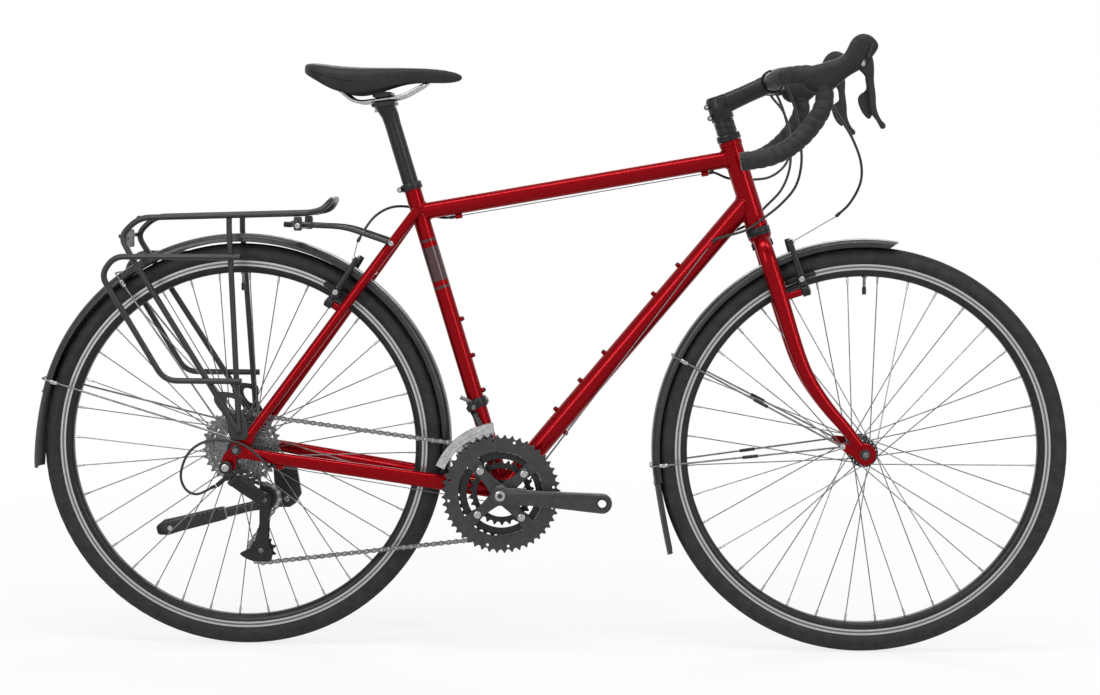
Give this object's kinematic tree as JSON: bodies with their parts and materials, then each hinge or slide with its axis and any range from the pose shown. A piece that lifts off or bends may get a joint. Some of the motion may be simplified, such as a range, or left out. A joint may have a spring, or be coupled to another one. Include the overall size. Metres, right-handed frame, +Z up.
{
  "type": "touring bicycle",
  "caption": "Drop-bar touring bicycle with steel frame, rim brakes, derailleur gears, mudguards, rear rack and side stand.",
  "frame": {"origin": "on the ground under the middle of the bicycle's overall length, in its plane of symmetry", "axes": "+X forward along the bicycle, +Y to its left, +Z up; the chain is on the -Y side"},
  "size_m": [1.75, 0.468, 1.0277],
  "materials": {
    "frame_paint": "deep red gloss paint",
    "black_alloy": "black satin",
    "silver_alloy": "silver",
    "steel": "bright",
    "plastic": "black satin",
    "rubber": "matt black",
    "tyre": "matt black",
    "saddle_cover": "black, soft sheen",
    "tape": "matt black wrapped tape"
  },
  "bodies": {
    "frame": {"frame": "frame_paint", "bottom_bracket": "black_alloy", "seat_clamp": "black_alloy", "headset_upper": "black_alloy", "headset_lower": "black_alloy", "rear_axle": "steel", "rear_mudguard": "plastic", "rear_mudguard_stays": "steel", "rear_rack": "black_alloy", "rack_arms": "black_alloy", "front_derailleur_band": "black_alloy", "rear_derailleur_upper": "black_alloy", "kickstand_bracket": "black_alloy", "chain": "steel", "rear_brake_cable": "plastic", "front_gear_cable": "plastic", "rear_gear_cable": "plastic"},
    "seat": {"seatpost": "black_alloy", "saddle_clamp": "black_alloy", "saddle_rails": "steel", "saddle": "saddle_cover"},
    "steering": {"fork": "frame_paint", "headset_spacers": "black_alloy", "stem": "black_alloy", "stem_faceplate": "black_alloy", "stem_cap": "black_alloy", "handlebar": "black_alloy", "front_axle": "steel", "front_mudguard": "plastic", "front_mudguard_stays": "steel", "bar_tape_right": "tape", "bar_tape_left": "tape", "brake_hood_right": "rubber", "brake_hood_left": "rubber", "front_brake_cable": "plastic"},
    "front_wheel": {"front_tyre": "tyre", "front_rim": "black_alloy", "front_hub": "steel"},
    "rear_wheel": {"rear_tyre": "tyre", "rear_rim": "black_alloy", "rear_hub": "steel"},
    "cranks": {"crank_right": "black_alloy", "crank_left": "black_alloy", "chainrings": "black_alloy"},
    "cassette": {"cassette": "steel"},
    "front_cage": {"front_derailleur_cage": "silver_alloy"},
    "rear_link": {"rear_derailleur_link": "black_alloy"},
    "rear_knuckle": {"rear_derailleur_lower": "black_alloy"},
    "rear_cage": {"rear_derailleur_cage": "black_alloy"},
    "guide_wheel": {"jockey_wheel_guide": "plastic"},
    "tension_wheel": {"jockey_wheel_tension": "plastic"},
    "stand": {"kickstand_leg": "black_alloy"},
    "lever_right": {"brake_lever_right": "plastic"},
    "paddle_right": {"shift_paddle_right": "plastic"},
    "front_arm_right": {"front_brake_arm_right": "black_alloy"},
    "rear_arm_right": {"rear_brake_arm_right": "black_alloy"},
    "lever_left": {"brake_lever_left": "plastic"},
    "paddle_left": {"shift_paddle_left": "plastic"},
    "front_arm_left": {"front_brake_arm_left": "black_alloy"},
    "rear_arm_left": {"rear_brake_arm_left": "black_alloy"}
  },
  "joints": [
    {"name": "steering_turn", "type": "hinge", "parent": "frame", "child": "steering", "pos_m": [0.35173, 0, 0.71734], "axis": [-0.3117, 0, 0.9502], "range_deg": [-65, 65], "deforming": ["rear_brake_cable", "front_gear_cable", "rear_gear_cable"]},
    {"name": "seat_height", "type": "slide", "parent": "frame", "child": "seat", "axis": [-0.2907, 0, 0.9568], "range_m": [-0.06, 0.05]},
    {"name": "front_wheel_spin", "type": "hinge", "parent": "steering", "child": "front_wheel", "pos_m": [0.53205, 0, 0.343], "axis": [0, 1, 0], "continuous": true},
    {"name": "rear_wheel_spin", "type": "hinge", "parent": "frame", "child": "rear_wheel", "pos_m": [-0.51495, 0, 0.343], "axis": [0, 1, 0], "continuous": true},
    {"name": "crank_turn", "type": "hinge", "parent": "frame", "child": "cranks", "pos_m": [-0.07295, 0, 0.271], "axis": [0, 1, 0], "continuous": true},
    {"name": "cassette_turn", "type": "hinge", "parent": "frame", "child": "cassette", "pos_m": [-0.51495, 0, 0.343], "axis": [0, 1, 0], "continuous": true},
    {"name": "front_cage_swing", "type": "hinge", "parent": "frame", "child": "front_cage", "pos_m": [-0.12273, -0.0223, 0.40466], "axis": [1, 0, 0], "range_deg": [-6, 6]},
    {"name": "rear_link_swing", "type": "hinge", "parent": "frame", "child": "rear_link", "pos_m": [-0.51825, -0.0806, 0.2936], "axis": [0.6151, 0, 0.7885], "range_deg": [-32, 5]},
    {"name": "rear_knuckle_swing", "type": "hinge", "parent": "rear_link", "child": "rear_knuckle", "pos_m": [-0.47641, -0.06245, 0.26096], "axis": [0.6151, 0, 0.7885], "range_deg": [-5, 32]},
    {"name": "rear_cage_swing", "type": "hinge", "parent": "rear_knuckle", "child": "rear_cage", "pos_m": [-0.47245, -0.047, 0.257], "axis": [0, 1, 0], "range_deg": [-45, 25], "deforming": ["chain"]},
    {"name": "guide_wheel_turn", "type": "hinge", "parent": "rear_cage", "child": "guide_wheel", "pos_m": [-0.47245, -0.03085, 0.257], "axis": [0, 1, 0], "continuous": true},
    {"name": "tension_wheel_turn", "type": "hinge", "parent": "rear_cage", "child": "tension_wheel", "pos_m": [-0.48113, -0.03085, 0.16692], "axis": [0, 1, 0], "continuous": true},
    {"name": "stand_fold", "type": "hinge", "parent": "frame", "child": "stand", "pos_m": [-0.45295, 0.066, 0.24], "axis": [0, -1, 0], "range_deg": [0, 68]},
    {"name": "lever_pull_right", "type": "hinge", "parent": "steering", "child": "lever_right", "pos_m": [0.49959, -0.212, 0.97971], "axis": [0, 1, 0], "range_deg": [0, 18], "stiffness_Nm_per_rad": 1.5, "springref_deg": -5.73},
    {"name": "paddle_push_right", "type": "hinge", "parent": "lever_right", "child": "paddle_right", "pos_m": [0.50877, -0.2062, 0.95931], "axis": [1, 0, 0], "range_deg": [0, 12], "stiffness_Nm_per_rad": 0.12, "springref_deg": -2.86},
    {"name": "front_arm_close_right", "type": "hinge", "parent": "steering", "child": "front_arm_right", "pos_m": [0.43131, -0.04, 0.61387], "axis": [-0.9502, 0, -0.3117], "range_deg": [0, 3.1]},
    {"name": "rear_arm_close_right", "type": "hinge", "parent": "frame", "child": "rear_arm_right", "pos_m": [-0.36266, -0.04, 0.58862], "axis": [-0.8499, 0, 0.527], "range_deg": [0, 3.1]},
    {"name": "lever_pull_left", "type": "hinge", "parent": "steering", "child": "lever_left", "pos_m": [0.49959, 0.212, 0.97971], "axis": [0, 1, 0], "range_deg": [0, 18], "stiffness_Nm_per_rad": 1.5, "springref_deg": -5.73},
    {"name": "paddle_push_left", "type": "hinge", "parent": "lever_left", "child": "paddle_left", "pos_m": [0.50877, 0.2062, 0.95931], "axis": [-1, 0, 0], "range_deg": [0, 12], "stiffness_Nm_per_rad": 0.12, "springref_deg": -2.86},
    {"name": "front_arm_close_left", "type": "hinge", "parent": "steering", "child": "front_arm_left", "pos_m": [0.43131, 0.04, 0.61387], "axis": [0.9502, 0, 0.3117], "range_deg": [0, 3.1]},
    {"name": "rear_arm_close_left", "type": "hinge", "parent": "frame", "child": "rear_arm_left", "pos_m": [-0.36266, 0.04, 0.58862], "axis": [0.8499, 0, -0.527], "range_deg": [0, 3.1]}
  ],
  "couplings": [
    {"joint": "cassette_turn", "follows": "crank_turn", "ratio": 1.2857},
    {"joint": "guide_wheel_turn", "follows": "crank_turn", "ratio": -3.2727},
    {"joint": "tension_wheel_turn", "follows": "crank_turn", "ratio": 3.2727},
    {"joint": "rear_knuckle_swing", "follows": "rear_link_swing", "ratio": -1},
    {"joint": "front_arm_close_right", "follows": "lever_pull_right", "ratio": 0.1722},
    {"joint": "rear_arm_close_right", "follows": "lever_pull_left", "ratio": 0.1722},
    {"joint": "front_arm_close_left", "follows": "lever_pull_right", "ratio": 0.1722},
    {"joint": "rear_arm_close_left", "follows": "lever_pull_left", "ratio": 0.1722}
  ]
}
